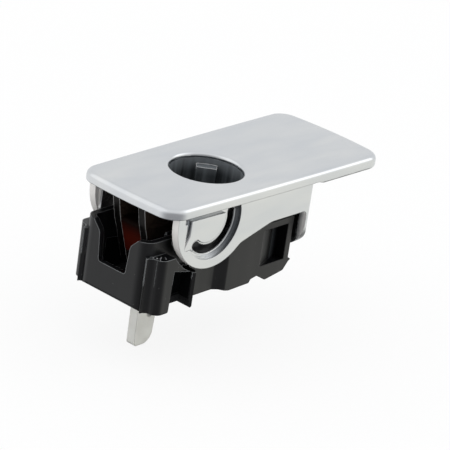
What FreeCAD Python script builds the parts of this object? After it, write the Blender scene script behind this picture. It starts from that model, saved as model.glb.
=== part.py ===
import FreeCAD, Part
import math
import os

# Glove box latch, in millimetres. It is modelled with X from the hinge end of the plate, Y across it
# and Z up from the plate's top face. Each piece is then moved so that the lock axis is at the origin.
# A "setback" is a distance from the hinge end, and a "drop" is a distance below the top face.

# Plate
PLATE_LENGTH = 80.0
PLATE_OVERHANG = 1.1
PLATE_FLARE = 3.1
PLATE_T = 2.5
SIDE_BOW = 0.3
HINGE_END_BOW = 0.75
FINGER_END_BOW = 1.3
HINGE_CORNER_R = 5.4
FINGER_CORNER_R = 5.3
TOP_EDGE_R = 1.5
LIP_T = 3.4
LIP_EDGE_R = 0.85
POCKET_ROOF_T = 1.8
POCKET_RIM = 2.2

# Hinge line
PIVOT_SETBACK = 17.5
PIVOT_DROP = 6.8
PEG_R = 2.2
PEG_CLEARANCE = 0.06

# Lock socket
PIVOT_TO_LOCK = 12.0
LOCK_R = 9.5
LOCK_EDGE_R = 0.9
SLEEVE_DROP = 1.3
SLEEVE_WALL = 1.1
SLEEVE_LENGTH = 8.9
SLEEVE_LEDGE = 1.0
SLEEVE_LEDGE_T = 1.4
KEY_ANGLE = 40.0
KEY_WIDTH = 5.3
KEY_HEIGHT = 2.7
KEY_DROP = 2.9

# Handle body: two cheeks with round lobes, joined by the end wall
CHEEK_T = 2.0
CHEEK_GAP = 1.3
LOBE_LEAD = 0.6
LOBE_RISE = 2.2
LOBE_R = 14.1
ARCH_DROP = 11.3
ARCH_SETBACK = 39.5
ARCH_ROOT_DROP = 17.3
ARCH_FILLET = 4.0
END_WALL_SETBACK = 55.5
END_WALL_T = 2.0
END_WALL_DROP = 23.2
END_WALL_CORNER_R = 8.2
END_WALL_EDGE_R = 1.8

# D-shaped recess around the hinge line
RECESS_R = 9.5
RECESS_DEPTH = 1.4
GROOVE_DEPTH = 1.1
SLOT_OUTER_R = 8.26
SLOT_INNER_R = 5.95
SLOT_START = 12.0
SLOT_END = -131.0
PAD_BACKING = 0.95
D_SIDE = 10.2
GROOVE_WIDTH = 1.2
PAD_TOP_GAP = 1.6

# Fork at the hinge end and the block it holds
WEB_GAP = 6.4
WEB_T = 2.2
WEB_TOP_SETBACK = 2.0
WEB_KNEE_SETBACK = 3.2
WEB_KNEE_DROP = 8.4
WEB_FOOT_SETBACK = 8.1
WEB_FOOT_DROP = 22.3
WEB_FOOT_LENGTH = 1.9
WEB_ROOT_SETBACK = 15.5
BLOCK_TOP_DROP = 8.8
BLOCK_FACE_SETBACK = 8.6
BLOCK_FOOT_DROP = 19.0
BLOCK_PEG_R = 1.4

# Housing
END_FACE_SETBACK = -1.2
HOUSING_END_SETBACK = 51.7
PIVOT_TO_STEP = 7.3
STEP_DEPTH = 1.9
STEP_LENGTH = 3.0
HOUSING_WALL = 1.6
RIM_DROP = 9.9
SHOULDER_DROP = 13.2
FLOOR_DROP = 26.3
FOOT_DROP = 28.2
FOOT_CREST = 8.3
FOOT_HOLLOW = 11.8
FOOT_HEEL = 14.6
CORNER_R = 3.2
BOSS_R = 4.0
INNER_BOSS_R = 2.9
BOSS_REACH = 2.2
MOUTH_WIDTH = 10.5
MOUTH_FOOT_WIDTH = 9.2
MOUTH_DROP = 20.2
LOOP_DEPTH = 3.5
LOOP_START = 0.8
LOOP_POST = 4.9
LOOP_POST_R = 2.4
FLUTE_R = 1.8
LOOP_GAP = 6.8
LOOP_LEG = 1.6
LOOP_DROP = 13.6
LOOP_BAR = 3.6
RAMP_START = 40.3
RAMP_END = 49.8
RAMP_DEPTH = 3.3
RAMP_TOP_DROP = 15.0
RAMP_FOOT_DROP = 25.0
SLOT_WIDTH = 4.6

# Pawl, its pin and the wire of the springs
PAWL_PIN_LEAD = 2.5
PAWL_PIN_DROP = 21.0
PAWL_PIN_R = 1.6
PAWL_HUB_R = 3.4
PAWL_HUB_WIDTH = 5.2
PAWL_T = 2.6
NOSE_R = 2.1
NOSE_GAP = 0.35
NOSE_DROP = 13.4
TONGUE_SETBACK = 9.4
TONGUE_WIDTH = 6.7
NECK_WIDTH = 3.6
TONGUE_DROP = 44.4
TONGUE_SHOULDER = 6.2
THROAT_TOP_DROP = 31.0
THROAT_FOOT_DROP = 37.0
WIRE_R = 0.35
PAWL_WIRE_R = 0.4
COIL_PITCH = 2.3
HANDLE_LEG = 9.0
PAWL_LEG = 6.2
COIL_GAP = 0.15

# Derived positions
LOCK_SETBACK = PIVOT_SETBACK + PIVOT_TO_LOCK
LOBE_SETBACK = PIVOT_SETBACK + LOBE_LEAD
LOBE_DROP = PIVOT_DROP - LOBE_RISE
STEP_SETBACK = PIVOT_SETBACK + PIVOT_TO_STEP
PAWL_PIN_SETBACK = PIVOT_SETBACK + PAWL_PIN_LEAD
TRAVEL_CLEARANCE = 0.3
LOBE_CLEARANCE = 1.3
SLEEVE_R = LOCK_R + SLEEVE_WALL
NARROW_OUT = SLEEVE_R + TRAVEL_CLEARANCE
NARROW_IN = NARROW_OUT - HOUSING_WALL
WIDE_OUT = NARROW_OUT + STEP_DEPTH
WIDE_IN = WIDE_OUT - HOUSING_WALL
LOOP_OUT = NARROW_OUT + LOOP_DEPTH
PAD_IN = NARROW_OUT + CHEEK_GAP
CHEEK_IN = PAD_IN + PAD_BACKING
CHEEK_OUT = CHEEK_IN + CHEEK_T
HINGE_END_WIDTH = 2 * (CHEEK_OUT + PLATE_OVERHANG)
FINGER_END_WIDTH = HINGE_END_WIDTH + PLATE_FLARE
PLATE_HALF = FINGER_END_WIDTH / 2
LOOP_GAP_START = LOOP_START + LOOP_POST
LOOP_GAP_END = LOOP_GAP_START + LOOP_GAP
LOOP_END = LOOP_GAP_END + LOOP_LEG
STEP_END = STEP_SETBACK + STEP_LENGTH
WEB_IN = WEB_GAP / 2
WEB_OUT = WEB_IN + WEB_T
END_WALL_IN = END_WALL_SETBACK - END_WALL_T
SLEEVE_FOOT_DROP = SLEEVE_DROP + SLEEVE_LENGTH
WALL_DROP = SLEEVE_FOOT_DROP + 2 * TRAVEL_CLEARANCE
NOSE_SETBACK = BLOCK_FACE_SETBACK + NOSE_GAP + NOSE_R
HANDLE_COIL_R = INNER_BOSS_R + WIRE_R + 0.2
PIN_START = -NARROW_IN - HOUSING_WALL / 2


def vec(x, y, z):
    return FreeCAD.Vector(x, y, z)


def side_place(u, w):
    return vec(u, 0, w)


def plan_place(u, w):
    return vec(u, w, 0)


def end_place(u, w):
    return vec(0, u, w)


def rounded_face(points, place):
    """Closed face through (u, w) or (u, w, radius) points; a radius never takes half of an edge."""
    count = len(points)
    corners = []
    for i, point in enumerate(points):
        here = place(point[0], point[1])
        before = place(points[i - 1][0], points[i - 1][1]) - here
        after = place(points[(i + 1) % count][0], points[(i + 1) % count][1]) - here
        radius = point[2] if len(point) > 2 else 0.0
        half = before.getAngle(after) / 2
        if radius <= 0 or half > math.pi / 2 - 0.01:
            corners.append((here, here, here))
            continue
        reach = min(radius / math.tan(half), 0.49 * before.Length, 0.49 * after.Length)
        radius = reach * math.tan(half)
        before.normalize()
        after.normalize()
        inward = before + after
        inward.normalize()
        middle = here + inward * (radius / math.sin(half) - radius)
        corners.append((here + before * reach, middle, here + after * reach))
    edges = []
    for i, (start, middle, end) in enumerate(corners):
        last = corners[i - 1][2]
        if (start - last).Length > 1e-6:
            edges.append(Part.makeLine(last, start))
        if (end - start).Length > 1e-6:
            edges.append(Part.Arc(start, middle, end).toShape())
    return Part.Face(Part.Wire(edges))


def side_prism(points, y0, y1):
    face = rounded_face(points, side_place)
    face.translate(vec(0, y0, 0))
    return face.extrude(vec(0, y1 - y0, 0))


def plan_prism(points, z0, z1):
    face = rounded_face(points, plan_place)
    face.translate(vec(0, 0, z0))
    return face.extrude(vec(0, 0, z1 - z0))


def end_prism(points, x0, x1):
    face = rounded_face(points, end_place)
    face.translate(vec(x0, 0, 0))
    return face.extrude(vec(x1 - x0, 0, 0))


def box(x0, x1, y0, y1, z0, z1):
    return Part.makeBox(x1 - x0, y1 - y0, z1 - z0, vec(x0, y0, z0))


def cross_rod(x, z, r, y0, y1):
    return Part.makeCylinder(r, y1 - y0, vec(x, y0, z), vec(0, 1, 0))


def upright_rod(x, y, r, z0, z1):
    return Part.makeCylinder(r, z1 - z0, vec(x, y, z0))


def both_sides(shape):
    return shape.fuse(shape.mirror(vec(0, 0, 0), vec(0, 1, 0)))


def on_arc(x, z, r, degrees):
    return (x + r * math.cos(math.radians(degrees)), z + r * math.sin(math.radians(degrees)))


def plate_half_width(setback):
    return (HINGE_END_WIDTH + (FINGER_END_WIDTH - HINGE_END_WIDTH) * setback / PLATE_LENGTH) / 2


def upright_edges(shape, x0, x1):
    found = []
    for edge in shape.Edges:
        bounds = edge.BoundBox
        if bounds.ZLength > 1 and bounds.XLength < 0.01 and x0 < bounds.XMin < x1:
            found.append(edge)
    return found


def top_edges(shape):
    return [edge for edge in shape.Edges if edge.BoundBox.ZMin > -0.001]


def level_edges(shape, z):
    return [edge for edge in shape.Edges if abs(edge.BoundBox.ZMin - z) < 0.001 and edge.BoundBox.ZLength < 0.01]


def plate_blank():
    """Plate outline: four slightly bowed sides with rounded corners, and rolled top and bottom edges."""
    hinge, finger = HINGE_END_WIDTH / 2, FINGER_END_WIDTH / 2
    near_hinge = vec(HINGE_END_BOW, -hinge, 0)
    near_finger = vec(PLATE_LENGTH - FINGER_END_BOW, -finger, 0)
    far_finger = vec(PLATE_LENGTH - FINGER_END_BOW, finger, 0)
    far_hinge = vec(HINGE_END_BOW, hinge, 0)
    bow = vec(0, SIDE_BOW, 0)
    sides = [
        Part.Arc(near_hinge, (near_hinge + near_finger) * 0.5 - bow, near_finger),
        Part.Arc(near_finger, vec(PLATE_LENGTH, 0, 0), far_finger),
        Part.Arc(far_finger, (far_finger + far_hinge) * 0.5 + bow, far_hinge),
        Part.Arc(far_hinge, vec(0, 0, 0), near_hinge),
    ]
    blank = Part.Face(Part.Wire([side.toShape() for side in sides])).extrude(vec(0, 0, -LIP_T))
    middle = PLATE_LENGTH / 2
    blank = blank.makeFillet(HINGE_CORNER_R, upright_edges(blank, -1, middle))
    blank = blank.makeFillet(FINGER_CORNER_R, upright_edges(blank, middle, PLATE_LENGTH + 1))
    blank = blank.makeFillet(TOP_EDGE_R, top_edges(blank))
    return blank.makeFillet(LIP_EDGE_R, level_edges(blank, -LIP_T))


def plate():
    """Plate with its deeper finger lip, the shallow pocket under it and the lock hole."""
    lip_start = END_WALL_SETBACK + 1.0
    underside = side_prism(
        [
            (-5, 5),
            (PLATE_LENGTH + 5, 5),
            (PLATE_LENGTH + 5, -LIP_T - 1),
            (lip_start, -LIP_T - 1),
            (lip_start, -LIP_T),
            (END_WALL_IN, -PLATE_T),
            (-5, -PLATE_T),
        ],
        -PLATE_HALF - 5,
        PLATE_HALF + 5,
    )
    pocket_start = END_WALL_SETBACK + POCKET_RIM
    pocket_end = PLATE_LENGTH - FINGER_END_BOW - POCKET_RIM
    start_half = plate_half_width(pocket_start) - POCKET_RIM
    end_half = plate_half_width(pocket_end) - POCKET_RIM
    end_r = max(FINGER_CORNER_R - POCKET_RIM, 0.5)
    pocket = plan_prism(
        [
            (pocket_start, -start_half, 1.5),
            (pocket_end, -end_half, end_r),
            (pocket_end, end_half, end_r),
            (pocket_start, start_half, 1.5),
        ],
        -2 * LIP_T,
        -POCKET_ROOF_T,
    )
    body = plate_blank().common(underside).cut(pocket)
    body = body.cut(upright_rod(LOCK_SETBACK, 0, LOCK_R, -2 * LIP_T, 1))
    rim = []
    for edge in top_edges(body):
        if abs(edge.BoundBox.XLength - 2 * LOCK_R) < 0.01:
            rim.append(edge)
    body = body.makeFillet(LOCK_EDGE_R, rim)
    return body.cut(upright_rod(LOCK_SETBACK, 0, SLEEVE_R, -2 * LIP_T, -SLEEVE_DROP))


def lobe_fillet(y0, y1):
    """Hollow fillet between the round lobe and the sloping underside of the cheek's bar."""
    angle = math.atan2(ARCH_ROOT_DROP - ARCH_DROP, ARCH_SETBACK - LOBE_SETBACK)
    along = FreeCAD.Vector(-math.cos(angle), 0, -math.sin(angle))
    below = FreeCAD.Vector(math.sin(angle), 0, -math.cos(angle))
    lobe = vec(LOBE_SETBACK, 0, -LOBE_DROP)
    start = vec(ARCH_SETBACK, 0, -ARCH_DROP) + below * ARCH_FILLET
    offset = start - lobe
    lead = offset.dot(along)
    reach = -lead - math.sqrt(lead ** 2 - offset.Length ** 2 + (LOBE_R + ARCH_FILLET) ** 2)
    centre = start + along * reach
    on_bar = centre - below * ARCH_FILLET
    on_lobe = lobe + (centre - lobe) * (LOBE_R / (LOBE_R + ARCH_FILLET))
    corners = [(p.x, p.z) for p in (on_bar, centre, on_lobe, lobe)]
    wedge = side_prism(corners, y0, y1)
    return wedge.cut(cross_rod(centre.x, centre.z, ARCH_FILLET, y0 - 1, y1 + 1))


def skirt():
    """Cheeks and end wall: a U in plan, cut to the lobe and arch outline seen from the side."""
    top, low = -PLATE_T / 2, -END_WALL_DROP - 5
    outer = plan_prism(
        [
            (-5, -CHEEK_OUT),
            (END_WALL_SETBACK, -CHEEK_OUT, END_WALL_EDGE_R),
            (END_WALL_SETBACK, CHEEK_OUT, END_WALL_EDGE_R),
            (-5, CHEEK_OUT),
        ],
        low,
        top,
    )
    inner = plan_prism(
        [
            (-6, -CHEEK_IN),
            (END_WALL_IN, -CHEEK_IN, END_WALL_EDGE_R / 2),
            (END_WALL_IN, CHEEK_IN, END_WALL_EDGE_R / 2),
            (-6, CHEEK_IN),
        ],
        low - 1,
        top + 1,
    )
    y0, y1 = -CHEEK_OUT - 1, CHEEK_OUT + 1
    bar = side_prism(
        [
            (LOBE_SETBACK, top),
            (END_WALL_SETBACK + 1, top),
            (END_WALL_SETBACK + 1, low),
            (END_WALL_IN, low),
            (END_WALL_IN, -ARCH_DROP, 1.6),
            (ARCH_SETBACK, -ARCH_DROP, 2 * ARCH_FILLET),
            (LOBE_SETBACK, -ARCH_ROOT_DROP),
        ],
        y0,
        y1,
    )
    lobe = cross_rod(LOBE_SETBACK, -LOBE_DROP, LOBE_R, y0, y1)
    outline = bar.fuse([lobe, lobe_fillet(y0, y1)])
    body = outer.cut(inner).common(outline)
    foot = end_prism(
        [
            (-CHEEK_OUT, 1),
            (-CHEEK_OUT, -END_WALL_DROP, END_WALL_CORNER_R),
            (CHEEK_OUT, -END_WALL_DROP, END_WALL_CORNER_R),
            (CHEEK_OUT, 1),
        ],
        ARCH_SETBACK,
        END_WALL_SETBACK + 2,
    )
    trim = box(ARCH_SETBACK + 1, END_WALL_SETBACK + 1, y0, y1, low - 1, 0.5).cut(foot)
    return body.cut(trim)


def arc_slot(inner_r, outer_r, start, end, y0, y1):
    """Round-ended slot that follows an arc about the pivot."""
    middle_r = (inner_r + outer_r) / 2
    end_r = (outer_r - inner_r) / 2
    x, z = PIVOT_SETBACK, -PIVOT_DROP
    ring = cross_rod(x, z, outer_r, y0, y1).cut(cross_rod(x, z, inner_r, y0 - 1, y1 + 1))
    fan = [(x, z)]
    steps = 8
    for i in range(steps + 1):
        fan.append(on_arc(x, z, 3 * outer_r, start + (end - start) * i / steps))
    slot = ring.common(side_prism(fan, y0, y1))
    for degrees in (start, end):
        cx, cz = on_arc(x, z, middle_r, degrees)
        slot = slot.fuse(cross_rod(cx, cz, end_r, y0, y1))
    return slot


def recess_cut():
    """Everything cut out of the near cheek: the D recess, its grooves and the arc slot."""
    face, floor = -CHEEK_OUT, -CHEEK_OUT + RECESS_DEPTH
    x, z = PIVOT_SETBACK, -PIVOT_DROP
    d_left = x - D_SIDE
    d_foot = z - RECESS_R * math.sin(math.radians(34))
    round_part = cross_rod(x, z, RECESS_R, face - 1, floor)
    corner = side_prism(
        [(d_left, 0), (x, 0), (x, d_foot), (d_left, d_foot, 1.0)],
        face - 1,
        floor,
    )
    deep = floor + GROOVE_DEPTH
    groove = side_prism(
        [
            (d_left, 0),
            (d_left + GROOVE_WIDTH, 0),
            (d_left + 0.7 * GROOVE_WIDTH, d_foot + 0.5),
            (d_left + 0.3 * GROOVE_WIDTH, d_foot + 0.5),
        ],
        face - 1,
        deep,
    )
    notch = side_prism(
        [
            (d_left - 0.8, 0),
            (d_left + GROOVE_WIDTH + 0.3, 0),
            (d_left + GROOVE_WIDTH + 0.3, -PLATE_T - 2.3, 0.3),
            (d_left - 0.8, -PLATE_T - 2.3, 0.3),
        ],
        face - 1,
        deep,
    )
    top_groove = side_prism(
        [
            (d_left + 2.6, 0),
            (x + SLOT_INNER_R - 0.4, 0),
            (x + SLOT_INNER_R - 0.4, -PLATE_T - PAD_TOP_GAP, 0.3),
            (d_left + 2.6, -PLATE_T - PAD_TOP_GAP, 0.3),
        ],
        face - 1,
        deep,
    )
    slot = arc_slot(SLOT_INNER_R, SLOT_OUTER_R, SLOT_START, SLOT_END, face - 1, -PAD_IN + 1)
    cut = round_part.fuse([corner, groove, notch, top_groove, slot])
    return cut.common(box(-PLATE_LENGTH, PLATE_LENGTH, -CHEEK_OUT - 2, 0, -PLATE_LENGTH, -PLATE_T))


def pad_backing():
    """Thicker wall on the inner side of the near cheek, behind the recess."""
    y0, y1 = -CHEEK_IN - CHEEK_T / 4, -PAD_IN
    pad = cross_rod(PIVOT_SETBACK, -PIVOT_DROP, RECESS_R + 0.4, y0, y1)
    top = -PLATE_T / 2
    corner = side_prism(
        [
            (PIVOT_SETBACK - D_SIDE - 1.6, top),
            (PIVOT_SETBACK, top),
            (PIVOT_SETBACK, -PIVOT_DROP - RECESS_R * 0.6),
            (PIVOT_SETBACK - D_SIDE - 1.6, -PIVOT_DROP - RECESS_R * 0.6, 1.0),
        ],
        y0,
        y1,
    )
    lobe = cross_rod(LOBE_SETBACK, -LOBE_DROP, LOBE_R - 0.3, y0, y1)
    limit = box(-PLATE_LENGTH, PLATE_LENGTH, y0, y1, -PLATE_LENGTH, top)
    return pad.fuse(corner).common(lobe).common(limit)


def web_edge_setback(drop):
    """Setback of the fork's front edge at a drop below its knee."""
    share = (drop - WEB_KNEE_DROP) / (WEB_FOOT_DROP - WEB_KNEE_DROP)
    return WEB_KNEE_SETBACK + share * (WEB_FOOT_SETBACK - WEB_KNEE_SETBACK)


def block_middle():
    drop = (BLOCK_TOP_DROP + BLOCK_FOOT_DROP) / 2
    return ((web_edge_setback(drop) + BLOCK_FACE_SETBACK) / 2, -drop)


def web():
    """Near web of the fork, with the hole for the push block's peg."""
    outline = [
        (WEB_TOP_SETBACK, -PLATE_T / 2),
        (WEB_TOP_SETBACK, -PLATE_T - 0.5, 3.0),
        (WEB_KNEE_SETBACK, -WEB_KNEE_DROP, 8.0),
        (WEB_FOOT_SETBACK, -WEB_FOOT_DROP, 0.6),
        (WEB_FOOT_SETBACK + WEB_FOOT_LENGTH, -WEB_FOOT_DROP, 0.6),
        (WEB_ROOT_SETBACK - 2.0, -PIVOT_DROP - 3.2, 6.0),
        (WEB_ROOT_SETBACK, -PLATE_T, 1.0),
        (WEB_ROOT_SETBACK, -PLATE_T / 2),
    ]
    x, z = block_middle()
    body = side_prism(outline, -WEB_OUT, -WEB_IN)
    return body.cut(cross_rod(x, z, BLOCK_PEG_R, -WEB_OUT - 1, -WEB_IN + 1))


def peg():
    """Hinge peg of the near cheek, with a chamfered tip."""
    tip = -NARROW_IN + BOSS_REACH
    body = cross_rod(PIVOT_SETBACK, -PIVOT_DROP, PEG_R, -PAD_IN - PAD_BACKING / 2, tip)
    rims = [e for e in body.Edges if e.BoundBox.YLength < 0.001 and abs(e.BoundBox.YMax - tip) < 0.001]
    return body.makeChamfer(0.35, rims)


def handle():
    near = skirt_extras().cut(recess_cut())
    body = plate().fuse([skirt(), both_sides(near)])
    cuts = recess_cut()
    body = body.cut([cuts, cuts.mirror(vec(0, 0, 0), vec(0, 1, 0))])
    return body.fuse([both_sides(peg())]).removeSplitter()


def skirt_extras():
    return pad_backing().fuse(web())


def lock_sleeve():
    """Black socket for the lock: tube, ledge under the plate and one key rib inside."""
    x = LOCK_SETBACK
    foot = -SLEEVE_FOOT_DROP
    tube = upright_rod(x, 0, SLEEVE_R, foot, -SLEEVE_DROP)
    ledge = upright_rod(x, 0, SLEEVE_R + SLEEVE_LEDGE, -PLATE_T - SLEEVE_LEDGE_T, -PLATE_T)
    bore = upright_rod(x, 0, LOCK_R, foot - 1, 1)
    body = tube.fuse(ledge).cut(bore)
    rib = box(LOCK_R - KEY_HEIGHT, LOCK_R + SLEEVE_WALL / 2, -KEY_WIDTH / 2, KEY_WIDTH / 2, foot, -KEY_DROP)
    ledge_cut = box(LOCK_R - KEY_HEIGHT - 1, LOCK_R - 0.8, -KEY_WIDTH / 2 - 1, KEY_WIDTH / 2 + 1, foot - 1, foot + 1.2)
    rib = rib.cut(ledge_cut)
    rib.rotate(vec(0, 0, 0), vec(0, 0, 1), KEY_ANGLE)
    rib.translate(vec(x, 0, 0))
    return body.fuse(rib).removeSplitter()


def push_block():
    """Block between the fork's webs; its flat right face pushes the pawl's nose."""
    face = BLOCK_FACE_SETBACK
    knee = BLOCK_FOOT_DROP - 3.0
    outline = [
        (web_edge_setback(BLOCK_TOP_DROP), -BLOCK_TOP_DROP, 0.8),
        (web_edge_setback(BLOCK_FOOT_DROP), -BLOCK_FOOT_DROP, 0.4),
        (face, -knee, 1.2),
        (face, -BLOCK_TOP_DROP, 0.8),
    ]
    x, z = block_middle()
    body = side_prism(outline, -WEB_IN, WEB_IN)
    return body.fuse(cross_rod(x, z, BLOCK_PEG_R, -WEB_OUT, WEB_OUT)).removeSplitter()


def housing_plan(start, narrow, wide, step, end, corner):
    """Plan outline of the housing: narrow at the hinge end, stepping out to the wide part."""
    return [
        (start, -narrow, corner),
        (step, -narrow, 0.8),
        (step + STEP_LENGTH, -wide, 0.8),
        (end, -wide, 0.6),
        (end, wide, 0.6),
        (step + STEP_LENGTH, wide, 0.8),
        (step, narrow, 0.8),
        (start, narrow, corner),
    ]


def housing_side():
    """Side outline of the housing: rim, pivot hump, shoulder, end lip and wavy foot."""
    end = HOUSING_END_SETBACK
    return [
        (END_FACE_SETBACK, -RIM_DROP, 0.4),
        (PIVOT_SETBACK - 8.5, -RIM_DROP, 2.0),
        (PIVOT_SETBACK - 4.4, -PIVOT_DROP + 0.6, 1.5),
        (PIVOT_SETBACK - 2.4, -PIVOT_DROP + 2.2, 1.0),
        (PIVOT_SETBACK + 3.2, -PIVOT_DROP + 2.2, 1.0),
        (PIVOT_SETBACK + 5.0, -WALL_DROP, 1.5),
        (ARCH_SETBACK + 0.5, -WALL_DROP, 1.5),
        (ARCH_SETBACK + 2.5, -SHOULDER_DROP, 1.5),
        (end, -SHOULDER_DROP, 0.4),
        (end, -RAMP_FOOT_DROP, 0.3),
        (end + 1.2, -RAMP_FOOT_DROP - 0.7, 0.3),
        (end + 0.4, -RAMP_FOOT_DROP - 1.1, 0.6),
        (end - 1.4, -FOOT_DROP - 0.1, 0.8),
        (end - FOOT_CREST, -FOOT_DROP - 1.2, 1.5),
        (end - FOOT_HOLLOW, -FOOT_DROP + 0.8, 0.8),
        (end - FOOT_HEEL + 0.6, -FOOT_DROP + 0.4, 0.4),
        (end - FOOT_HEEL, -FOOT_DROP - 0.55, 0.6),
        (STEP_END + 1.6, -FOOT_DROP - 0.7, 1.5),
        (STEP_END - 1.5, -FOOT_DROP, 1.5),
        (END_FACE_SETBACK + 0.9, -FOOT_DROP, 0.3),
        (END_FACE_SETBACK, -FOOT_DROP + 0.9, 0.3),
    ]


def mouth_cut():
    """Slot in the end face through which the fork and the push block show."""
    half = MOUTH_WIDTH / 2
    foot = MOUTH_FOOT_WIDTH / 2
    flare = 2.5
    outline = [
        (-half - flare, 0),
        (-half - flare, -RIM_DROP),
        (-half, -RIM_DROP - flare, 2.5),
        (-foot, -MOUTH_DROP, 0.8),
        (foot, -MOUTH_DROP, 0.8),
        (half, -RIM_DROP - flare, 2.5),
        (half + flare, -RIM_DROP),
        (half + flare, 0),
    ]
    return end_prism(outline, END_FACE_SETBACK - 1, END_FACE_SETBACK + HOUSING_WALL + 0.6)


def side_loop():
    """Loop on the near side: a thick post, a bar with a dished top and a thin pointed leg."""
    y0, y1 = -LOOP_OUT, -NARROW_OUT + HOUSING_WALL / 2
    low = -FOOT_DROP - 3
    plan = plan_prism(
        [
            (LOOP_START, y1),
            (LOOP_START, y0, LOOP_POST_R),
            (LOOP_END, y0, 0.3),
            (LOOP_END, y1),
        ],
        low,
        -LOOP_DROP,
    )
    bar_low = -LOOP_DROP - LOOP_BAR
    side = side_prism(
        [
            (LOOP_START - 1, 0),
            (LOOP_START - 1, -FOOT_DROP),
            (LOOP_GAP_START - 0.4, -FOOT_DROP, 0.5),
            (LOOP_GAP_START, bar_low, 0.3),
            (LOOP_GAP_END, bar_low - 1.6, 0.3),
            (LOOP_GAP_END, -FOOT_DROP + 0.9),
            (LOOP_GAP_END + 0.8, -FOOT_DROP - 0.7, 0.2),
            (LOOP_END - 0.1, -FOOT_DROP - 0.4, 0.2),
            (LOOP_END, 0),
        ],
        y0 - 1,
        y1,
    )
    dish = cross_rod(LOBE_SETBACK, -LOBE_DROP, LOBE_R + LOBE_CLEARANCE, y0 - 1, -NARROW_OUT)
    relief = plan_prism(
        [
            (LOOP_GAP_END - 0.5, y0 + 0.4),
            (LOOP_GAP_END, y0 + 0.4),
            (LOOP_END, y0 + 0.4 + LOOP_LEG),
            (LOOP_END, y1 + 1),
            (LOOP_GAP_END - 0.5, y1 + 1),
        ],
        -FLOOR_DROP,
        bar_low - 1.8,
    )
    return plan.common(side).cut([dish, relief])


def side_window():
    """Opening through the near wall behind the loop, down to the floor."""
    y0, y1 = -NARROW_OUT - 1, -NARROW_IN + 1
    outline = [
        (LOOP_GAP_START + 0.4, -FLOOR_DROP, 0.5),
        (LOOP_GAP_START + 0.4, -LOOP_DROP - LOOP_BAR - 0.4, 0.5),
        (LOOP_END + 1.0, -LOOP_DROP - LOOP_BAR - 1.8, 0.5),
        (LOOP_END + 1.0, -FLOOR_DROP, 0.5),
    ]
    return side_prism(outline, y0, y1)


def corner_flute():
    """Hollow fillet that blends the end face's corner into the post of the near loop."""
    r = FLUTE_R
    x, y = LOOP_START, -NARROW_OUT
    patch = box(x - r, x + 0.3, y - r, y + 0.3, -FOOT_DROP, -LOOP_DROP)
    return patch.cut(upright_rod(x - r, y - r, r, -FOOT_DROP - 1, 0))


def ramp_backing():
    """Inner wedge that keeps the near wall whole behind the ramp recess."""
    slope = RAMP_DEPTH / (RAMP_END - RAMP_START)
    y_wall = -WIDE_OUT + HOUSING_WALL / 2
    deep = -WIDE_OUT + RAMP_DEPTH + HOUSING_WALL
    end = HOUSING_END_SETBACK - HOUSING_WALL / 2
    start = RAMP_START - 0.4 * HOUSING_WALL / slope
    plan = [(start, y_wall), (end, y_wall), (end, deep), (RAMP_END - HOUSING_WALL, deep)]
    return plan_prism(plan, -FLOOR_DROP - 0.5, -SHOULDER_DROP)


def ramp_cut():
    """Wedge recess in the near wall, deepest beside the end post."""
    plan = [
        (RAMP_START, -WIDE_OUT - 0.01),
        (RAMP_START, -WIDE_OUT - 1),
        (RAMP_END, -WIDE_OUT - 1),
        (RAMP_END, -WIDE_OUT + RAMP_DEPTH),
    ]
    return plan_prism(plan, -RAMP_FOOT_DROP, -RAMP_TOP_DROP)


def pivot_boss():
    """Near boss that the handle's peg turns in."""
    x, z = PIVOT_SETBACK, -PIVOT_DROP
    outer = cross_rod(x, z, BOSS_R, -PAD_IN + TRAVEL_CLEARANCE, -NARROW_IN)
    inner = cross_rod(x, z, INNER_BOSS_R, -NARROW_IN, -NARROW_IN + BOSS_REACH)
    return outer.fuse(inner)


def housing():
    low = -FOOT_DROP - 3
    plan = housing_plan(END_FACE_SETBACK, NARROW_OUT, WIDE_OUT, STEP_SETBACK, HOUSING_END_SETBACK + 2, CORNER_R)
    shell = plan_prism(plan, low, 0)
    shell = shell.common(side_prism(housing_side(), -LOOP_OUT - 1, LOOP_OUT + 1))
    inner_plan = housing_plan(
        END_FACE_SETBACK + HOUSING_WALL,
        NARROW_IN,
        WIDE_IN,
        STEP_SETBACK + 0.25 * HOUSING_WALL,
        HOUSING_END_SETBACK - HOUSING_WALL,
        CORNER_R - HOUSING_WALL,
    )
    shell = shell.cut(plan_prism(inner_plan, -FLOOR_DROP, 1))
    extras = side_loop().fuse([corner_flute(), ramp_backing(), pivot_boss()])
    shell = shell.fuse(both_sides(extras)).cut(mouth_cut())
    shell = shell.cut(both_sides(ramp_cut().fuse(side_window())))
    peg_bore = cross_rod(PIVOT_SETBACK, -PIVOT_DROP, PEG_R + PEG_CLEARANCE, -LOOP_OUT, LOOP_OUT)
    pin_bore = cross_rod(PAWL_PIN_SETBACK, -PAWL_PIN_DROP, PAWL_PIN_R, PIN_START, LOOP_OUT)
    half = SLOT_WIDTH / 2
    pawl_slot = box(TONGUE_SETBACK - 4.6, PAWL_PIN_SETBACK - 0.6, -half, half, low, -FLOOR_DROP + 1)
    return shell.cut([peg_bore, pin_bore, pawl_slot]).fuse(spring_ledges()).removeSplitter()


def spring_ledges():
    """Two small ledges on the inner walls that the handle springs' lower legs rest on."""
    top = -PIVOT_DROP - HANDLE_COIL_R - WIRE_R
    left = PIVOT_SETBACK - HANDLE_LEG
    outline = [(left, top), (left, top - 2.6), (left + 2.0, top - 1.4), (left + 2.0, top)]
    return both_sides(side_prism(outline, -NARROW_IN - 0.2, -NARROW_IN + BOSS_REACH))


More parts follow.
